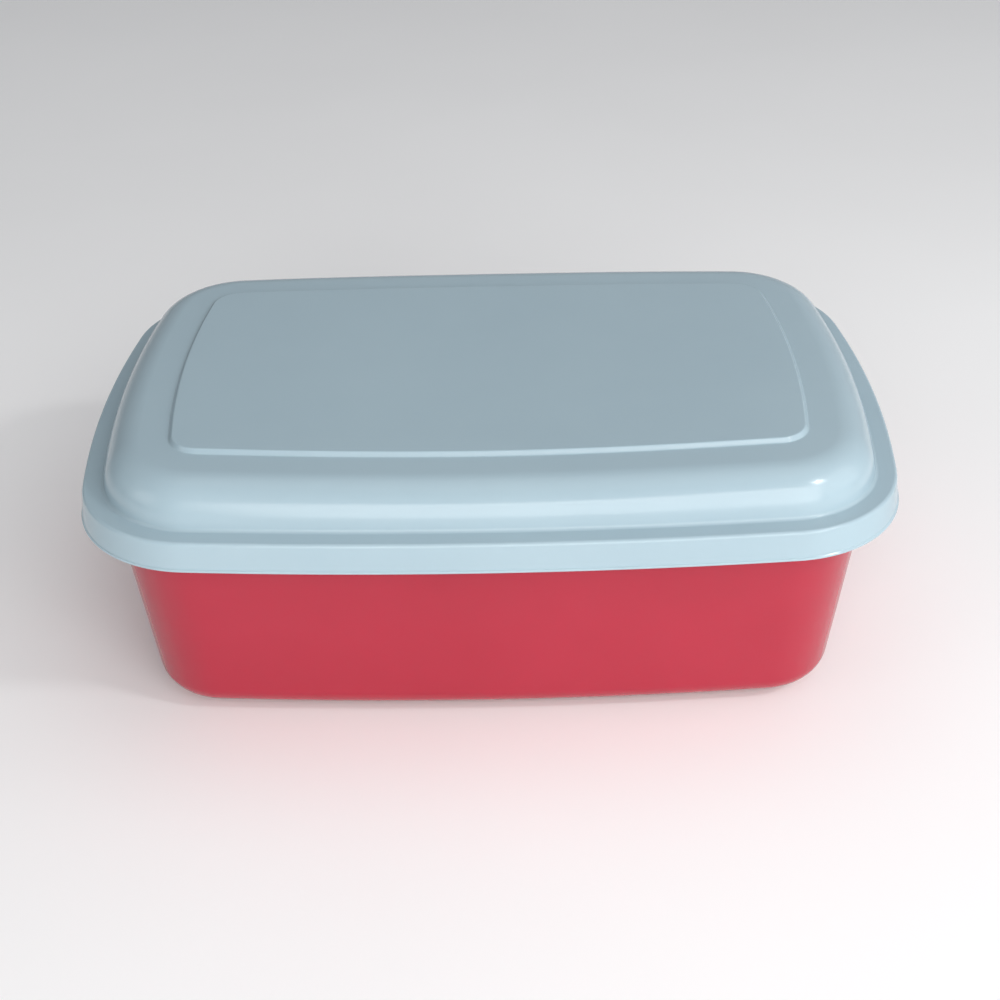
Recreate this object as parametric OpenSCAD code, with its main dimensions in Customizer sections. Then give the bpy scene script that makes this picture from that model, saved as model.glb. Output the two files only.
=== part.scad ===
// Food storage container: a tapered tub with a flanged rim and a domed lid whose skirt covers it.
// X runs along the length, Y across, and Z up. The origin is the centre of the foot ring's base.
// Both mouldings are one wall section swept round the same outline, so a section's points are
// [outward offset from the lid's lower edge, height], and negative offsets lie inside that edge.

/* [Outline] */
// Length over the lid's lower edge
rim_length = 340; // [310:1:370]
// Width over the lid's lower edge
rim_width = 227; // [205:1:250]
// Corner radius of the lid's lower edge, seen from above
corner_radius = 52; // [48:1:58]
// Radius of the gently bowed long sides
long_side_radius = 1650; // [1200:10:2600]
// Radius of the gently bowed short sides
short_side_radius = 480; // [400:10:800]

/* [Tub] */
// Height of the tub's rim above the surface it stands on
tub_height = 100.5; // [75:0.1:125]
// Thickness of the tub's walls and floor
tub_wall = 1.6; // [1.2:0.1:2]
// Inset of the tub's outer face from the lid's edge, at rim height
wall_inset = 12; // [10.5:0.1:13.5]
// Slope of the tub's side walls from upright
wall_draft = 5.9; // [3:0.1:7.5]
// Outer radius between the side walls and the floor
floor_fillet = 11; // [6:0.5:13]
// Depth of the thickened collar band below the rim
collar_depth = 20.2; // [16:0.1:26]
// How far the collar stands proud of the wall below it
collar_proud = 0.8; // [0.4:0.1:1.2]
// How far the down-turned lip of the rim shows below the lid's skirt
lip_show = 1; // [0:0.1:2]
// Height of the corner gussets under the flange
gusset_height = 10; // [6:0.5:13]
// Reach of the corner gussets from the collar
gusset_reach = 4.6; // [2:0.1:5.5]
// Thickness of the corner gussets
gusset_thickness = 1.3; // [1:0.1:2]
// Height of the foot ring under the floor
foot_height = 3; // [2:0.1:4]
// Width of the foot ring
foot_width = 2.6; // [2:0.1:3]

/* [Lid] */
// Thickness of the lid
lid_wall = 1.5; // [1.2:0.1:1.8]
// Height of the lid's skirt, from its lower edge up to the ledge
skirt_height = 12.2; // [11:0.1:15]
// Slope of the skirt from upright
skirt_draft = 9; // [5:0.5:11]
// Radius between the skirt and the ledge
skirt_edge_radius = 1.5; // [0.8:0.1:2]
// Inset of the dome's foot from the lid's lower edge
dome_inset = 10.6; // [10:0.1:12]
// Height of the dome above the ledge
dome_height = 17.3; // [16.6:0.1:24]
// Radius of the dome's upper edge
dome_radius = 16; // [12:0.1:16.5]
// Slope of the dome's wall from upright
dome_draft = 10; // [5:0.5:14]
// Height of the raised centre panel above the dome
panel_rise = 1.8; // [1:0.1:2.4]
// Corner radius of the raised centre panel
panel_corner = 12; // [10:0.5:14]

/* [Fit] */
// Gap between the skirt's inner face and the rim's lip
lip_gap = 0.65; // [0.5:0.05:0.9]
// Gap between the lid's ledge and the rim it rests on
seat_gap = 0.2; // [0.1:0.05:0.4]
// Height of the bead inside the skirt, which leaves it running clearance over the lip
bead_rise = 0.3; // [0.1:0.05:0.35]

/* [Hidden] */

// Steps along one arc of the outline
arc_steps = 20;
// Rounding of the outline's angles, in degrees, so that neighbouring sweeps meet exactly
angle_grain = 0.0001;
// Rounding of the middle step when a sweep's centre is placed
place_grain = 0.001;
// Degrees between points on the rounded edges of a section
section_step = 11.25;
// Corner radius left at the inner border of the swept band
band_corner = 2;
// Corner radius of the flat centre plates, which lap over the swept band
plate_corner = 4;
// Corner radius of the foot ring
foot_corner = 10;
// Slope on the foot ring's sides, as width lost over its height
foot_taper = 0.4;

// Rounding of the rim's outer edge, under the flange, at the mouth and on free edges
rim_radius = 2;
flange_fillet = 1.2;
mouth_radius = 2.2;
edge_round = 0.5;
// Rounding at the dome's foot
dome_foot_radius = 1.6;
// Height of the bead inside the skirt
bead_height = 2;
// Width of the slope round the raised centre panel
panel_edge = 1.4;

// Heights of the tub, from the floor up
floor_top = foot_height + tub_wall;
flange_under = tub_height - tub_wall;
collar_bottom = tub_height - collar_depth;

// Heights of the lid, which rests on the tub's rim
ledge_under = tub_height + seat_gap;
ledge_top = ledge_under + lid_wall;
skirt_bottom = ledge_top - skirt_height;
dome_top = ledge_top + dome_height;
panel_top = dome_top + panel_rise;
lip_bottom = skirt_bottom - lip_show;

// Insets from the lid's lower edge that leave those corner radii, and the gussets' lap into the wall
band_inset = corner_radius - band_corner;
plate_inset = corner_radius - plate_corner;
foot_inset = corner_radius - foot_corner;
panel_inset = corner_radius - panel_corner;
gusset_root = tub_wall / 2;

// Outline: two long arcs, two short arcs and four corner arcs, each tangent to its neighbours

function to_grain(value, grain) = round(value / grain) * grain;

// The corner arc's centre lies where its distances to the centres of a long and a short arc agree
long_reach = long_side_radius - corner_radius;
short_reach = short_side_radius - corner_radius;
long_middle = [0, rim_width / 2 - long_side_radius];
short_middle = [rim_length / 2 - short_side_radius, 0];
middle_gap = norm(short_middle - long_middle);
gap_line = (short_middle - long_middle) / middle_gap;
along = (long_reach ^ 2 - short_reach ^ 2 + middle_gap ^ 2) / (2 * middle_gap);
across = sqrt(long_reach ^ 2 - along ^ 2);
crossing = long_middle + along * gap_line + across * [gap_line.y, -gap_line.x];
long_half_angle = to_grain(atan2(crossing.x, crossing.y - long_middle.y), angle_grain);
short_half_angle = to_grain(atan2(crossing.y, crossing.x - short_middle.x), angle_grain);
corner_sweep = 90 - long_half_angle - short_half_angle;

// The three centres follow from the rounded angles, so each arc starts exactly where the last one ends
corner_centre = [long_reach * sin(long_half_angle), short_reach * sin(short_half_angle)];
long_centre = [0, corner_centre.y - long_reach * cos(long_half_angle)];
short_centre = [corner_centre.x - short_reach * cos(short_half_angle), 0];

// The arcs of half the outline in order, each as [centre, radius, first angle, sweep]
half_outline = [
    [short_centre, short_side_radius, -short_half_angle, 2 * short_half_angle],
    [corner_centre, corner_radius, short_half_angle, corner_sweep],
    [long_centre, long_side_radius, 90 - long_half_angle, 2 * long_half_angle],
    [[-corner_centre.x, corner_centre.y], corner_radius, 90 + long_half_angle, corner_sweep]
];

// Points along an arc, as [offset, height]
function arc(centre, radius, first, last) =
    let (steps = max(2, ceil(abs(last - first) / section_step)))
    [for (i = [0 : steps])
        let (angle = first + (last - first) * i / steps)
        centre + radius * [cos(angle), sin(angle)]];

// Offset of each sloping face at a height
function wall_face(z) = -wall_inset - (tub_height - z) * tan(wall_draft);
function collar_face(z) = wall_face(z) + collar_proud;
function skirt_face(z) = -(z - skirt_bottom) * tan(skirt_draft);
function lip_face(z) = skirt_face(z) - lid_wall - lip_gap;
function dome_face(z) = -dome_inset - (z - ledge_top) * tan(dome_draft);

// Centres of the round edges that join those faces
floor_centre = [
    wall_face(foot_height + floor_fillet) - floor_fillet / cos(wall_draft),
    foot_height + floor_fillet
];
under_centre = [
    collar_face(flange_under - flange_fillet) + flange_fillet / cos(wall_draft),
    flange_under - flange_fillet
];
mouth_centre = [
    collar_face(tub_height - mouth_radius) - tub_wall + mouth_radius / cos(wall_draft),
    tub_height - mouth_radius
];
rim_centre = [
    lip_face(tub_height - rim_radius) - rim_radius / cos(skirt_draft),
    tub_height - rim_radius
];
skirt_edge_centre = [
    skirt_face(ledge_top - skirt_edge_radius) - skirt_edge_radius / cos(skirt_draft),
    ledge_top - skirt_edge_radius
];
dome_foot_centre = [
    dome_face(ledge_top + dome_foot_radius) + dome_foot_radius / cos(dome_draft),
    ledge_top + dome_foot_radius
];
dome_centre = [
    dome_face(dome_top - dome_radius) - dome_radius / cos(dome_draft),
    dome_top - dome_radius
];

// Wall section of the tub, from the floor's underside out round the rim and back inside
tub_section = concat(
    [
        [-band_inset, foot_height],
        [-foot_inset - foot_width, foot_height],
        [-foot_inset - foot_width + foot_taper, 0],
        [-foot_inset - foot_taper, 0],
        [-foot_inset, foot_height]
    ],
    arc(floor_centre, floor_fillet, -90, -wall_draft),
    [
        [wall_face(collar_bottom - collar_proud), collar_bottom - collar_proud],
        [collar_face(collar_bottom), collar_bottom]
    ],
    arc(under_centre, flange_fillet, 180 - wall_draft, 90),
    [
        [lip_face(flange_under) - tub_wall, flange_under],
        [lip_face(lip_bottom + edge_round) - tub_wall, lip_bottom + edge_round],
        [lip_face(lip_bottom) - tub_wall + edge_round, lip_bottom],
        [lip_face(lip_bottom) - edge_round, lip_bottom],
        [lip_face(lip_bottom + edge_round), lip_bottom + edge_round]
    ],
    arc(rim_centre, rim_radius, skirt_draft, 90),
    arc(mouth_centre, mouth_radius, 90, 180 - wall_draft),
    [
        [collar_face(collar_bottom) - tub_wall, collar_bottom],
        [wall_face(collar_bottom - collar_proud) - tub_wall, collar_bottom - collar_proud]
    ],
    arc(floor_centre, floor_fillet - tub_wall, -wall_draft, -90),
    [[-band_inset, floor_top]]
);

// Wall section of the lid, from the skirt's lower edge up over the dome and back underneath
lid_section = concat(
    [
        [skirt_face(skirt_bottom) - edge_round, skirt_bottom],
        [skirt_face(skirt_bottom + edge_round), skirt_bottom + edge_round]
    ],
    arc(skirt_edge_centre, skirt_edge_radius, skirt_draft, 90),
    arc(dome_foot_centre, dome_foot_radius, 270, 180 + dome_draft),
    arc(dome_centre, dome_radius, dome_draft, 90),
    [
        [-panel_inset + panel_edge, dome_top],
        [-panel_inset, panel_top],
        [-band_inset, panel_top],
        [-band_inset, panel_top - lid_wall],
        [-panel_inset, panel_top - lid_wall],
        [-panel_inset + panel_edge, dome_top - lid_wall]
    ],
    arc(dome_centre, dome_radius - lid_wall, 90, dome_draft),
    [
        [dome_face(ledge_under) - lid_wall, ledge_under],
        [skirt_face(ledge_under) - lid_wall, ledge_under],
        [skirt_face(skirt_bottom + bead_height) - lid_wall, skirt_bottom + bead_height],
        [skirt_face(skirt_bottom + bead_height / 2) - lid_wall - bead_rise, skirt_bottom + bead_height / 2],
        [skirt_face(skirt_bottom) - lid_wall, skirt_bottom]
    ]
);

// Move to a point in three steps, from whole millimetres down, which keeps every digit of it
module place(point) {
    whole = [round(point.x), round(point.y)];
    middle = [for (value = point - whole) to_grain(value, place_grain)];
    translate(whole)
        translate(middle)
            translate(point - whole - middle)
                children();
}

// Sweep a section round the whole outline, one revolve for each arc
module sweep_outline(section) {
    for (turn = [0, 180])
        rotate(turn)
            for (piece = half_outline)
                place(piece[0])
                    rotate_extrude(start = piece[2], angle = piece[3], $fn = arc_steps * 360 / piece[3])
                        translate([piece[1], 0])
                            polygon(section);
}

// Flat centre plate, whose border lies inside the swept band
module centre_plate(bottom, thickness) {
    half_border = [for (piece = half_outline)
        for (i = [0 : arc_steps - 1])
            let (angle = piece[2] + piece[3] * i / arc_steps)
            piece[0] + (piece[1] - plate_inset) * [cos(angle), sin(angle)]];
    translate([0, 0, bottom])
        linear_extrude(height = thickness)
            polygon(concat(half_border, [for (point = half_border) -point]));
}

// Triangular gusset between the collar and the flange, on the diagonal of one corner
module gusset(side_x, side_y) {
    tip = flange_under - gusset_height;
    translate([side_x * corner_centre.x, side_y * corner_centre.y, 0])
        rotate(atan2(side_y, side_x))
            translate([corner_radius, 0, 0])
                rotate([90, 0, 0])
                    linear_extrude(height = gusset_thickness, center = true)
                        polygon([
                            [collar_face(tip) - gusset_root, tip],
                            [collar_face(tip) + edge_round, tip],
                            [collar_face(flange_under) + gusset_reach, flange_under - flange_fillet],
                            [collar_face(flange_under) + gusset_reach, flange_under + gusset_root],
                            [collar_face(flange_under) - gusset_root, flange_under + gusset_root]
                        ]);
}

module tub() {
    color("crimson") {
        sweep_outline(tub_section);
        centre_plate(foot_height, tub_wall);
        for (side_x = [-1, 1])
            for (side_y = [-1, 1])
                gusset(side_x, side_y);
    }
}

module lid() {
    color("lightblue") {
        sweep_outline(lid_section);
        centre_plate(panel_top - lid_wall, lid_wall);
    }
}

tub();
lid();
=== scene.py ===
"""Looks of a two-part food container: a glossy red tub and a pale blue domed lid, on a pale floor."""

import math

import bmesh
import bpy
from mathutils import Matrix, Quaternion, Vector


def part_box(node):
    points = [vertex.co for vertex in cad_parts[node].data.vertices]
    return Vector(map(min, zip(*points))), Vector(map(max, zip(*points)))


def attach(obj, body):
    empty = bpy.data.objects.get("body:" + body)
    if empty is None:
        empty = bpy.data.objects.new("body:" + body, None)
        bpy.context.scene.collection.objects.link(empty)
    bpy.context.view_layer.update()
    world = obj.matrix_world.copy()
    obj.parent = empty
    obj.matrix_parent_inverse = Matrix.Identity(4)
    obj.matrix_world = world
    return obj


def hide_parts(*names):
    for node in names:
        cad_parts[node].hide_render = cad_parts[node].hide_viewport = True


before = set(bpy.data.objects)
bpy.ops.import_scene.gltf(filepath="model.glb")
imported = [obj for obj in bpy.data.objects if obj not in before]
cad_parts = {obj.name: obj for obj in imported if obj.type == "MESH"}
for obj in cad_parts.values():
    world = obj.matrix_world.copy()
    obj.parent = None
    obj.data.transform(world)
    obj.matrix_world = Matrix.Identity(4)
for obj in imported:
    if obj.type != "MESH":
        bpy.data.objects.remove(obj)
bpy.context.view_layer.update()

MM = 0.001

# Outline of both mouldings at the lid's lower edge, in millimetres as in the CAD
RIM_LENGTH = 340
RIM_WIDTH = 227
CORNER_RADIUS = 52
LONG_SIDE_RADIUS = 1650
SHORT_SIDE_RADIUS = 480
# Corner radius left where the swept section ends and the flat centre begins
CENTRE_CORNER = 2

# Tub
TUB_WALL = 1.6
WALL_INSET = 12
WALL_DRAFT = math.radians(5.9)
FLOOR_FILLET = 11
COLLAR_DEPTH = 20.2
COLLAR_PROUD = 0.8
LIP_SHOW = 1
GUSSET_HEIGHT = 10
GUSSET_REACH = 4.6
GUSSET_TIP = 0.5
GUSSET_THICKNESS = 1.3
FOOT_HEIGHT = 3
FOOT_WIDTH = 2.6
FOOT_TAPER = 0.4
FOOT_CORNER = 10

# Rounded edges of the tub
FOOT_ROUND = 0.6
FOOT_ROOT_ROUND = 0.5
STEP_ROUND = 0.35
FLANGE_FILLET = 1.2
LIP_ROOT_ROUND = 1
LIP_ROUND = 0.7
RIM_RADIUS = 2
MOUTH_RADIUS = 2.2
GUSSET_ROUND = 0.3

# Lid
LID_WALL = 1.5
SKIRT_DRAFT = math.radians(9)
SKIRT_EDGE_RADIUS = 1.5
DOME_INSET = 10.6
DOME_HEIGHT = 17.3
DOME_RADIUS = 16
DOME_DRAFT = math.radians(10)
DOME_FOOT_RADIUS = 1.6
PANEL_RISE = 1.8
PANEL_EDGE = 1.4
PANEL_CORNER = 12
LIP_GAP = 0.65
BEAD_HEIGHT = 2
BEAD_RISE = 0.3
# Small bead along the outside of the skirt's lower edge
EDGE_BEAD = 0.4
EDGE_BEAD_HEIGHT = 0.9

# Dish in the thin top: its depth, where it starts above the ledge and is full below the dome's top,
# the share of the half length that it takes up, and how much it fades towards the long sides
LID_SAG = 1.5
SAG_START = 2
SAG_FULL = 1
SAG_REACH = 0.82
SAG_FADE = 0.45

# Rounded edges of the lid
PANEL_ROUND = 0.9
PANEL_UNDER_ROUND = 0.7
EDGE_BEAD_ROUND = 0.3
SKIRT_OUTER_ROUND = 0.4
SKIRT_INNER_ROUND = 0.45
BEAD_ROUND = 0.8
LEDGE_UNDER_ROUND = 0.7
DOME_UNDER_ROUND = 0.6

# Gate mark in the middle of the floor's underside, as (radius, height above that face)
GATE_PROFILE = [
    (0, -0.55), (0.9, -0.55), (1.15, -0.3), (1.2, 0.02), (3.6, 0.02),
    (4.0, -0.16), (4.6, -0.16), (5.0, 0.1), (5.0, 0.6), (0, 0.6),
]

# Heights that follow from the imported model
TUB_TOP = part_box("tub")[1].z / MM
LID_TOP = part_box("lid")[1].z / MM
LID_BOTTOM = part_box("lid")[0].z / MM
DOME_TOP = LID_TOP - PANEL_RISE
LEDGE_TOP = DOME_TOP - DOME_HEIGHT
LEDGE_UNDER = LEDGE_TOP - LID_WALL
FLANGE_UNDER = TUB_TOP - TUB_WALL
COLLAR_BOTTOM = TUB_TOP - COLLAR_DEPTH
LIP_BOTTOM = LID_BOTTOM - LIP_SHOW

# How finely the outline and the rounded edges are divided
LONG_STEPS = 44
SHORT_STEPS = 28
CORNER_STEPS = 26
EDGE_STEP = math.radians(9)
CENTRE_RINGS = 12
GATE_STEPS = 48

# Points closer than the first distance are merged, and edges shorter than the second removed, in metres
MERGE_DISTANCE = 0.00002
SHORTEST_EDGE = 0.00001

# Floor and camera, in metres; the roll lifts the right end a little in the picture
FLOOR_SIZE = 8
CAMERA_PLACE = (0.0044, -0.58, 0.434)
CAMERA_AIM = (0.004, -0.006, 0.052)
CAMERA_ROLL = math.radians(-1.1)
CAMERA_LENS = 55
CAMERA_SENSOR = 36


# ---------------------------------------------------------------- outline

def outline_arcs():
    """The outline's eight arcs in order, as (centre x, centre y, radius, first, last, steps)."""
    long_middle = Vector((0, RIM_WIDTH / 2 - LONG_SIDE_RADIUS))
    short_middle = Vector((RIM_LENGTH / 2 - SHORT_SIDE_RADIUS, 0))
    long_reach = LONG_SIDE_RADIUS - CORNER_RADIUS
    short_reach = SHORT_SIDE_RADIUS - CORNER_RADIUS
    gap = (short_middle - long_middle).length
    line = (short_middle - long_middle) / gap
    along = (long_reach ** 2 - short_reach ** 2 + gap ** 2) / (2 * gap)
    across = math.sqrt(long_reach ** 2 - along ** 2)
    corner = long_middle + along * line + across * Vector((line.y, -line.x))
    lean = math.atan2(corner.x, corner.y - long_middle.y)
    rise = math.atan2(corner.y, corner.x - short_middle.x)
    quarter = math.pi / 2
    arcs = []
    for turn in (0, math.pi):
        side = 1 if turn == 0 else -1
        arcs += [
            (
                side * short_middle.x, 0, SHORT_SIDE_RADIUS,
                turn - rise, turn + rise, SHORT_STEPS,
            ),
            (
                side * corner.x, side * corner.y, CORNER_RADIUS,
                turn + rise, turn + quarter - lean, CORNER_STEPS,
            ),
            (
                0, side * long_middle.y, LONG_SIDE_RADIUS,
                turn + quarter - lean, turn + quarter + lean, LONG_STEPS,
            ),
            (
                -side * corner.x, side * corner.y, CORNER_RADIUS,
                turn + quarter + lean, turn + 2 * quarter - rise, CORNER_STEPS,
            ),
        ]
    return arcs


def outline_stations():
    """Places along the outline, each as (centre x, centre y, radius, cosine, sine) of its arc."""
    stations = []
    for x, y, radius, first, last, steps in outline_arcs():
        for i in range(steps):
            angle = first + (last - first) * i / steps
            stations.append((x, y, radius, math.cos(angle), math.sin(angle)))
    return stations


STATIONS = outline_stations()
CORNER_CENTRE = Vector(outline_arcs()[1][:2])


# ---------------------------------------------------------------- wall sections

# Offset from the outline of each sloping face, at a height

def wall_face(z):
    return -WALL_INSET - (TUB_TOP - z) * math.tan(WALL_DRAFT)


def collar_face(z):
    return wall_face(z) + COLLAR_PROUD


def skirt_face(z):
    return -(z - LID_BOTTOM) * math.tan(SKIRT_DRAFT)


def lip_face(z):
    return skirt_face(z) - LID_WALL - LIP_GAP


def dome_face(z):
    return -DOME_INSET - (z - LEDGE_TOP) * math.tan(DOME_DRAFT)


def rounded(corners):
    """An open section with each (offset, height, radius) corner rounded to its radius."""
    points = []
    last = len(corners) - 1
    for i, (u, z, radius) in enumerate(corners):
        here = Vector((u, z))
        if i in (0, last) or radius == 0:
            points.append(here)
            continue
        back = (Vector(corners[i - 1][:2]) - here).normalized()
        on = (Vector(corners[i + 1][:2]) - here).normalized()
        half = back.angle(on) / 2
        reach = radius / math.tan(half)
        middle = (back + on).normalized()
        centre = here + middle * radius / math.sin(half)
        start = here + back * reach - centre
        turn = math.pi - 2 * half
        if start.x * (here - centre).y - start.y * (here - centre).x < 0:
            turn = -turn
        steps = max(2, math.ceil(abs(turn) / EDGE_STEP))
        for k in range(steps + 1):
            angle = turn * k / steps
            cosine, sine = math.cos(angle), math.sin(angle)
            points.append(centre + Vector((
                start.x * cosine - start.y * sine,
                start.x * sine + start.y * cosine,
            )))
    return points


def tub_section():
    """From the floor's underside out over the foot and wall, round the rim and back inside."""
    band = -(CORNER_RADIUS - CENTRE_CORNER)
    foot = -(CORNER_RADIUS - FOOT_CORNER)
    floor_top = FOOT_HEIGHT + TUB_WALL
    step_z = COLLAR_BOTTOM - COLLAR_PROUD
    return rounded([
        (band, FOOT_HEIGHT, 0),
        (foot - FOOT_WIDTH, FOOT_HEIGHT, FOOT_ROOT_ROUND),
        (foot - FOOT_WIDTH + FOOT_TAPER, 0, FOOT_ROUND),
        (foot - FOOT_TAPER, 0, FOOT_ROUND),
        (foot, FOOT_HEIGHT, FOOT_ROOT_ROUND),
        (wall_face(FOOT_HEIGHT), FOOT_HEIGHT, FLOOR_FILLET),
        (wall_face(step_z), step_z, STEP_ROUND),
        (collar_face(COLLAR_BOTTOM), COLLAR_BOTTOM, STEP_ROUND),
        (collar_face(FLANGE_UNDER), FLANGE_UNDER, FLANGE_FILLET),
        (lip_face(FLANGE_UNDER) - TUB_WALL, FLANGE_UNDER, LIP_ROOT_ROUND),
        (lip_face(LIP_BOTTOM) - TUB_WALL, LIP_BOTTOM, LIP_ROUND),
        (lip_face(LIP_BOTTOM), LIP_BOTTOM, LIP_ROUND),
        (lip_face(TUB_TOP), TUB_TOP, RIM_RADIUS),
        (collar_face(TUB_TOP) - TUB_WALL, TUB_TOP, MOUTH_RADIUS),
        (collar_face(COLLAR_BOTTOM) - TUB_WALL, COLLAR_BOTTOM, STEP_ROUND),
        (wall_face(step_z) - TUB_WALL, step_z, STEP_ROUND),
        (wall_face(floor_top) - TUB_WALL, floor_top, FLOOR_FILLET - TUB_WALL),
        (band, floor_top, 0),
    ])


def lid_section():
    """From the panel's top out over the dome and skirt, round its lower edge and back underneath."""
    band = -(CORNER_RADIUS - CENTRE_CORNER)
    panel = -(CORNER_RADIUS - PANEL_CORNER)
    edge_top = LID_BOTTOM + EDGE_BEAD_HEIGHT
    bead_z = LID_BOTTOM + BEAD_HEIGHT / 2
    bead_top = LID_BOTTOM + BEAD_HEIGHT
    return rounded([
        (band, LID_TOP, 0),
        (panel, LID_TOP, PANEL_ROUND),
        (panel + PANEL_EDGE, DOME_TOP, PANEL_ROUND),
        (dome_face(DOME_TOP), DOME_TOP, DOME_RADIUS),
        (dome_face(LEDGE_TOP), LEDGE_TOP, DOME_FOOT_RADIUS),
        (skirt_face(LEDGE_TOP) - EDGE_BEAD / 2, LEDGE_TOP, SKIRT_EDGE_RADIUS),
        (skirt_face(edge_top + EDGE_BEAD) - EDGE_BEAD, edge_top + EDGE_BEAD, EDGE_BEAD_ROUND),
        (skirt_face(edge_top), edge_top, EDGE_BEAD_ROUND),
        (skirt_face(LID_BOTTOM), LID_BOTTOM, SKIRT_OUTER_ROUND),
        (skirt_face(LID_BOTTOM) - LID_WALL, LID_BOTTOM, SKIRT_INNER_ROUND),
        (skirt_face(bead_z) - LID_WALL - BEAD_RISE, bead_z, BEAD_ROUND),
        (skirt_face(bead_top) - LID_WALL, bead_top, BEAD_ROUND),
        (skirt_face(LEDGE_UNDER) - LID_WALL, LEDGE_UNDER, LEDGE_UNDER_ROUND),
        (dome_face(LEDGE_UNDER) - LID_WALL, LEDGE_UNDER, DOME_UNDER_ROUND),
        (dome_face(DOME_TOP - LID_WALL) - LID_WALL, DOME_TOP - LID_WALL, DOME_RADIUS - LID_WALL),
        (panel + PANEL_EDGE, DOME_TOP - LID_WALL, PANEL_UNDER_ROUND),
        (panel, LID_TOP - LID_WALL, PANEL_UNDER_ROUND),
        (band, LID_TOP - LID_WALL, 0),
    ])


# ---------------------------------------------------------------- meshes

def linked_mesh(name, points, faces):
    """A new object in the scene, from points in millimetres."""
    mesh = bpy.data.meshes.new(name)
    mesh.from_pydata([Vector(point) * MM for point in points], [], faces)
    piece = bpy.data.objects.new(name, mesh)
    bpy.context.scene.collection.objects.link(piece)
    return piece


def ring_faces(rows, count):
    """Four-sided faces between neighbouring rings of count points each."""
    faces = []
    for row in range(rows - 1):
        here, above = row * count, (row + 1) * count
        for i in range(count):
            j = (i + 1) % count
            faces.append((here + i, here + j, above + j, above + i))
    return faces


def station_point(station, u, z):
    """The point at offset u from the outline and height z, at one of its stations."""
    x, y, radius, cosine, sine = station
    return (x + (radius + u) * cosine, y + (radius + u) * sine, z)


def centre_rings(border, height):
    """Rings that shrink from a border to a line along the middle, so that the centre can sag."""
    spine = RIM_LENGTH / 2 - RIM_WIDTH / 2
    rings = []
    for k in range(1, CENTRE_RINGS + 1):
        share = k / CENTRE_RINGS
        ring = []
        for x, y, _ in border:
            middle_x = max(-spine, min(spine, x))
            ring.append((x + (middle_x - x) * share, y * (1 - share), height))
        rings.append(ring)
    return rings


def swept_mesh(name, section):
    """One closed moulding: the section swept round the outline, its open ends filled by rings."""
    rings = [[station_point(s, p.x, p.y) for s in STATIONS] for p in section]
    start_rings = centre_rings(rings[0], section[0].y)[::-1]
    end_rings = centre_rings(rings[-1], section[-1].y)
    rings = start_rings + rings + end_rings
    points = [point for ring in rings for point in ring]
    return linked_mesh(name, points, ring_faces(len(rings), len(STATIONS)))


def finish_mesh(piece):
    """Merge doubled points, face the surface outwards and shade it smooth, flat areas kept flat."""
    work = bmesh.new()
    work.from_mesh(piece.data)
    bmesh.ops.remove_doubles(work, verts=work.verts, dist=MERGE_DISTANCE)
    bmesh.ops.dissolve_degenerate(work, edges=work.edges, dist=SHORTEST_EDGE)
    bmesh.ops.recalc_face_normals(work, faces=work.faces)
    work.to_mesh(piece.data)
    work.free()
    for face in piece.data.polygons:
        face.use_smooth = True
    weigh = piece.modifiers.new("even shading", "WEIGHTED_NORMAL")
    weigh.weight = 80
    weigh.keep_sharp = True


def sag_lid_top(piece):
    """Dish the lid's thin top: most in the middle of its length, not at all at its ends and ledge."""
    sag = LID_SAG * MM
    half_x = RIM_LENGTH / 2 * MM
    half_y = RIM_WIDTH / 2 * MM
    start = (LEDGE_TOP + SAG_START) * MM
    full = (DOME_TOP - SAG_FULL) * MM
    for vertex in piece.data.vertices:
        x, y, z = vertex.co
        share = max(0, min(1, (z - start) / (full - start)))
        along = max(0, 1 - (x / (SAG_REACH * half_x)) ** 2)
        over = max(0, 1 - SAG_FADE * (y / half_y) ** 2)
        vertex.co.z = z - sag * share * share * (3 - 2 * share) * along * along * over


def gusset_mesh(side_x, side_y):
    """One triangular fin under the flange, on the diagonal of a corner, with its free edges rounded."""
    tip = FLANGE_UNDER - GUSSET_HEIGHT
    root = TUB_WALL / 2
    outline = [
        (collar_face(tip) - root, tip),
        (collar_face(tip) + GUSSET_TIP, tip),
        (collar_face(FLANGE_UNDER) + GUSSET_REACH, FLANGE_UNDER - FLANGE_FILLET),
        (collar_face(FLANGE_UNDER) + GUSSET_REACH, FLANGE_UNDER + root),
        (collar_face(FLANGE_UNDER) - root, FLANGE_UNDER + root),
    ]
    angle = math.atan2(side_y, side_x)
    out = Vector((math.cos(angle), math.sin(angle), 0))
    across = Vector((-out.y, out.x, 0)) * GUSSET_THICKNESS / 2
    centre = Vector((side_x * CORNER_CENTRE.x, side_y * CORNER_CENTRE.y, 0))
    points = []
    for shift in (-1, 1):
        for u, z in outline:
            points.append(centre + out * (CORNER_RADIUS + u) + across * shift + Vector((0, 0, z)))
    count = len(outline)
    faces = [tuple(range(count))[::-1], tuple(range(count, 2 * count))]
    faces += [(i, (i + 1) % count, count + (i + 1) % count, count + i) for i in range(count)]
    fin = linked_mesh("gusset", points, faces)
    edge = fin.modifiers.new("edge", "BEVEL")
    edge.width = GUSSET_ROUND * MM
    edge.segments = 3
    edge.limit_method = "ANGLE"
    return fin


def gate_mark():
    """The trimmed stub in the middle of the floor's underside where the plastic entered the mould."""
    points = []
    for radius, height in GATE_PROFILE:
        for i in range(GATE_STEPS):
            angle = math.tau * i / GATE_STEPS
            points.append((radius * math.cos(angle), radius * math.sin(angle), FOOT_HEIGHT + height))
    mark = linked_mesh("gate_mark", points, ring_faces(len(GATE_PROFILE), GATE_STEPS))
    finish_mesh(mark)
    return mark


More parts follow.
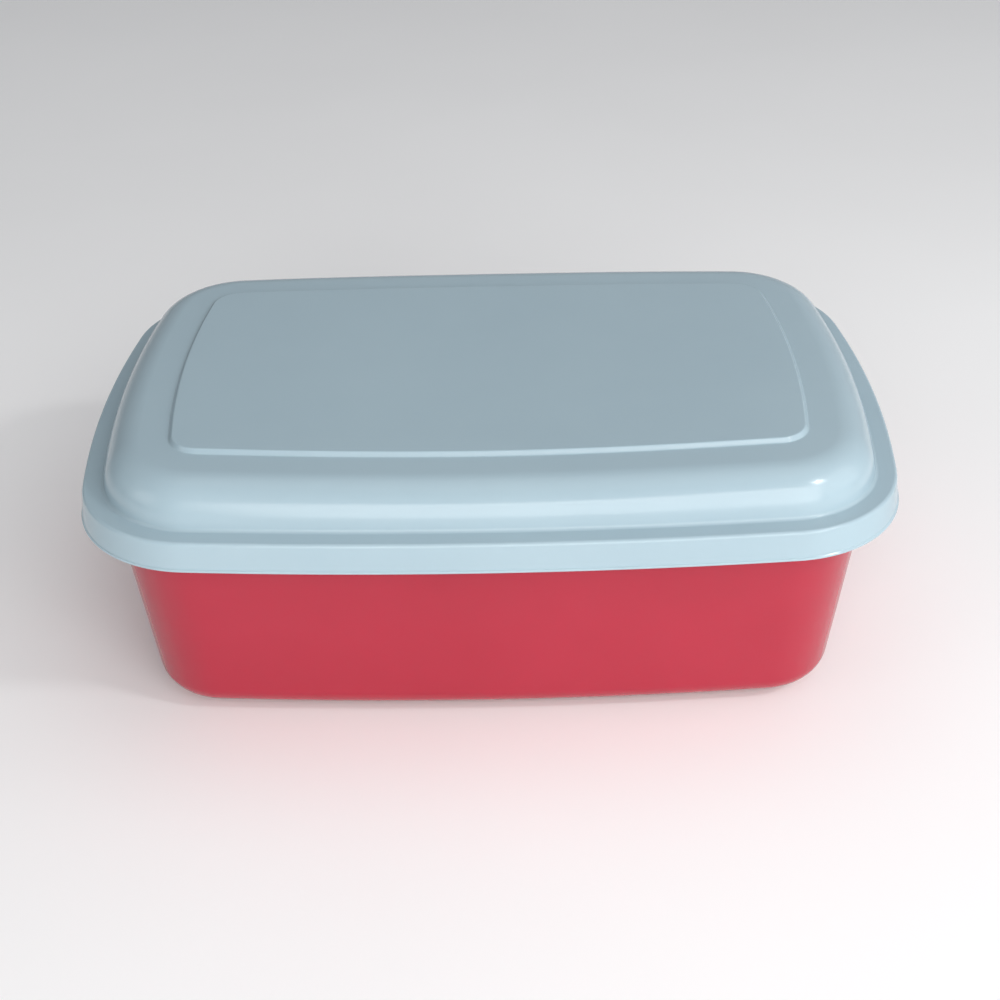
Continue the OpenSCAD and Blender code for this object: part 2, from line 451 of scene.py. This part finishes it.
def join_into(piece, others):
    """Apply the others' modifiers and make them part of piece."""
    bpy.ops.object.select_all(action="DESELECT")
    for other in others:
        other.select_set(True)
        bpy.context.view_layer.objects.active = other
        bpy.ops.object.convert(target="MESH")
    for other in others:
        other.select_set(True)
    piece.select_set(True)
    bpy.context.view_layer.objects.active = piece
    bpy.ops.object.join()


# ---------------------------------------------------------------- materials

def new_node(tree, kind, **values):
    """A new node with some of its settings."""
    node = tree.nodes.new(kind)
    for name, value in values.items():
        setattr(node, name, value)
    return node


def noise(tree, coordinates, scale, detail=3, roughness=0.5, stretch=(1, 1, 1)):
    """The factor of a noise pattern in object space, with features about 1/scale metres across."""
    mapping = new_node(tree, "ShaderNodeMapping")
    mapping.inputs["Scale"].default_value = stretch
    pattern = new_node(tree, "ShaderNodeTexNoise")
    pattern.inputs["Scale"].default_value = scale
    pattern.inputs["Detail"].default_value = detail
    pattern.inputs["Roughness"].default_value = roughness
    tree.links.new(coordinates, mapping.inputs["Vector"])
    tree.links.new(mapping.outputs["Vector"], pattern.inputs["Vector"])
    return pattern.outputs["Fac"]


def ramp(tree, factor, low, high, low_at=0.3, high_at=0.7):
    """Turns a factor into a colour or grey that runs from low to high."""
    node = new_node(tree, "ShaderNodeValToRGB")
    node.color_ramp.elements[0].position = low_at
    node.color_ramp.elements[1].position = high_at
    node.color_ramp.elements[0].color = (*low, 1)
    node.color_ramp.elements[1].color = (*high, 1)
    tree.links.new(factor, node.inputs["Fac"])
    return node.outputs["Color"]


def combine(tree, first, second, operation="ADD"):
    """The sum, or the result of another operation, of two factors or a factor and a number."""
    node = new_node(tree, "ShaderNodeMath", operation=operation)
    for socket, value in zip(node.inputs, (first, second)):
        if isinstance(value, (int, float)):
            socket.default_value = value
        else:
            tree.links.new(value, socket)
    return node.outputs["Value"]


def moulded_plastic(
    name, pale, deep, roughness, glow, glow_reach, smear_strength, hairline_strength,
):
    """Moulded plastic: slight colour clouding, orange peel, smears and hairlines in its gloss."""
    material = bpy.data.materials.new(name)
    material.use_nodes = True
    tree = material.node_tree
    tree.nodes.clear()
    output = new_node(tree, "ShaderNodeOutputMaterial")
    shader = new_node(tree, "ShaderNodeBsdfPrincipled")
    tree.links.new(shader.outputs["BSDF"], output.inputs["Surface"])
    place = new_node(tree, "ShaderNodeTexCoord").outputs["Object"]

    cloud = noise(tree, place, 14, detail=4)
    tree.links.new(ramp(tree, cloud, deep, pale), shader.inputs["Base Color"])

    # Handling leaves broad smears and fine, mostly level hairlines in the gloss
    smear = combine(tree, noise(tree, place, 18, 5, 0.6), smear_strength, "MULTIPLY")
    lines = noise(tree, place, 34, 3, 0.55, stretch=(1, 1, 45))
    hairline = ramp(tree, lines, (0, 0, 0), (1, 1, 1), low_at=0.56, high_at=0.80)
    grain = combine(tree, noise(tree, place, 1900, 1, 0.5), 0.05, "MULTIPLY")
    marks = combine(tree, combine(tree, hairline, hairline_strength, "MULTIPLY"), grain)
    gloss = combine(tree, combine(tree, smear, roughness), marks)
    tree.links.new(gloss, shader.inputs["Roughness"])

    # The moulding's skin: orange peel of a few millimetres on slow waves where the wall shrank
    peel = combine(tree, noise(tree, place, 330, 2, 0.5), 0.5, "MULTIPLY")
    wave = combine(tree, noise(tree, place, 24, 2, 0.5, stretch=(1, 1, 0.4)), 5.0, "MULTIPLY")
    bump = new_node(tree, "ShaderNodeBump")
    bump.inputs["Strength"].default_value = 0.3
    bump.inputs["Distance"].default_value = 0.00005
    tree.links.new(combine(tree, peel, wave), bump.inputs["Height"])
    tree.links.new(bump.outputs["Normal"], shader.inputs["Normal"])

    shader.inputs["IOR"].default_value = 1.49
    shader.inputs["Subsurface Weight"].default_value = glow
    shader.inputs["Subsurface Radius"].default_value = glow_reach
    shader.inputs["Subsurface Scale"].default_value = 1.0
    return material


def floor_material():
    """A plain, pale, slightly uneven matt floor."""
    material = bpy.data.materials.new("studio_floor")
    material.use_nodes = True
    tree = material.node_tree
    shader = tree.nodes["Principled BSDF"]
    place = new_node(tree, "ShaderNodeTexCoord").outputs["Object"]
    tint = ramp(tree, noise(tree, place, 3, detail=3), (0.90, 0.90, 0.90), (0.93, 0.93, 0.93))
    tree.links.new(tint, shader.inputs["Base Color"])
    shader.inputs["Roughness"].default_value = 0.75
    return material


# ---------------------------------------------------------------- the two mouldings

def make_tub(material):
    tub = swept_mesh("tub_moulding", tub_section())
    fins = [gusset_mesh(x, y) for x in (-1, 1) for y in (-1, 1)]
    finish_mesh(tub)
    join_into(tub, fins + [gate_mark()])
    tub.data.materials.append(material)
    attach(tub, "tub")
    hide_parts("tub")


def make_lid(material):
    lid = swept_mesh("lid_moulding", lid_section())
    sag_lid_top(lid)
    finish_mesh(lid)
    lid.data.materials.append(material)
    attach(lid, "lid")
    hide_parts("lid")


# ---------------------------------------------------------------- stage, light and camera

def make_floor():
    bpy.ops.mesh.primitive_plane_add(size=FLOOR_SIZE, location=(0, 0, 0))
    floor = bpy.context.object
    floor.name = "studio_floor"
    floor.data.materials.append(floor_material())


def soft_light(name, place, target, width, height, power, colour=(1, 1, 1)):
    """An area light in metres and watts that faces a target and isn't seen by the camera."""
    data = bpy.data.lights.new(name, "AREA")
    data.shape = "RECTANGLE"
    data.size = width
    data.size_y = height
    data.energy = power
    data.color = colour
    light = bpy.data.objects.new(name, data)
    light.location = place
    light.rotation_euler = (Vector(target) - Vector(place)).to_track_quat("-Z", "Y").to_euler()
    light.visible_camera = False
    bpy.context.scene.collection.objects.link(light)


def make_lights():
    """Soft windows, the strongest in front, and a small lamp that glints on the dome's right corner."""
    middle = (0, 0, LID_TOP / 2 * MM)
    dome_corner = (0.125, -0.094, 0.116)
    soft_light("front_window", (0.45, -1.75, 0.84), middle, 2.4, 1.5, 38.5, (1.0, 0.985, 0.97))
    soft_light("upper_window", (0.2, -1.35, 1.35), middle, 1.4, 0.12, 1.6)
    soft_light("right_window", (1.6, -0.4, 0.8), middle, 1.4, 1.2, 5)
    soft_light("left_fill", (-1.7, -0.7, 0.8), middle, 0.8, 0.8, 2)
    soft_light("overhead", (0.1, 0.2, 1.9), middle, 1.6, 1.2, 3)
    soft_light("room_lamp", (0.847, -0.533, 0.967), dome_corner, 0.13, 0.1, 3)
    make_room()


def make_room():
    """A pale room around the stage, dimmer on its left than on its right."""
    world = bpy.data.worlds.new("studio")
    world.use_nodes = True
    tree = world.node_tree
    background = tree.nodes["Background"]
    background.inputs["Color"].default_value = (0.95, 0.965, 1.0, 1)
    direction = new_node(tree, "ShaderNodeTexCoord").outputs["Generated"]
    split = new_node(tree, "ShaderNodeSeparateXYZ")
    level = new_node(tree, "ShaderNodeMapRange", interpolation_type="SMOOTHSTEP")
    for name, value in (("From Min", -1), ("From Max", 1), ("To Min", 0.19), ("To Max", 0.54)):
        level.inputs[name].default_value = value
    tree.links.new(direction, split.inputs["Vector"])
    tree.links.new(split.outputs["X"], level.inputs["Value"])
    tree.links.new(level.outputs["Result"], background.inputs["Strength"])
    bpy.context.scene.world = world


def make_camera():
    """The camera stands in front of the long side, 0.3 m above the lid, and looks down at it."""
    data = bpy.data.cameras.new("camera")
    camera = bpy.data.objects.new("camera", data)
    camera.location = CAMERA_PLACE
    turn = (Vector(CAMERA_AIM) - camera.location).to_track_quat("-Z", "Y")
    camera.rotation_euler = (turn @ Quaternion((0, 0, 1), CAMERA_ROLL)).to_euler()
    data.lens = CAMERA_LENS
    data.sensor_width = CAMERA_SENSOR
    bpy.context.scene.collection.objects.link(camera)
    bpy.context.scene.camera = camera
    bpy.context.scene.view_settings.view_transform = "Standard"


make_camera()
make_floor()
make_lights()
make_tub(moulded_plastic(
    "red_polypropylene",
    pale=(0.385, 0.017, 0.040),
    deep=(0.355, 0.014, 0.034),
    roughness=0.12,
    glow=0.06,
    glow_reach=(0.004, 0.0012, 0.001),
    smear_strength=0.12,
    hairline_strength=0.03,
))
make_lid(moulded_plastic(
    "ice_blue_polypropylene",
    pale=(0.346, 0.453, 0.508),
    deep=(0.331, 0.436, 0.493),
    roughness=0.10,
    glow=0.15,
    glow_reach=(0.003, 0.003, 0.003),
    smear_strength=0.10,
    hairline_strength=0.03,
))
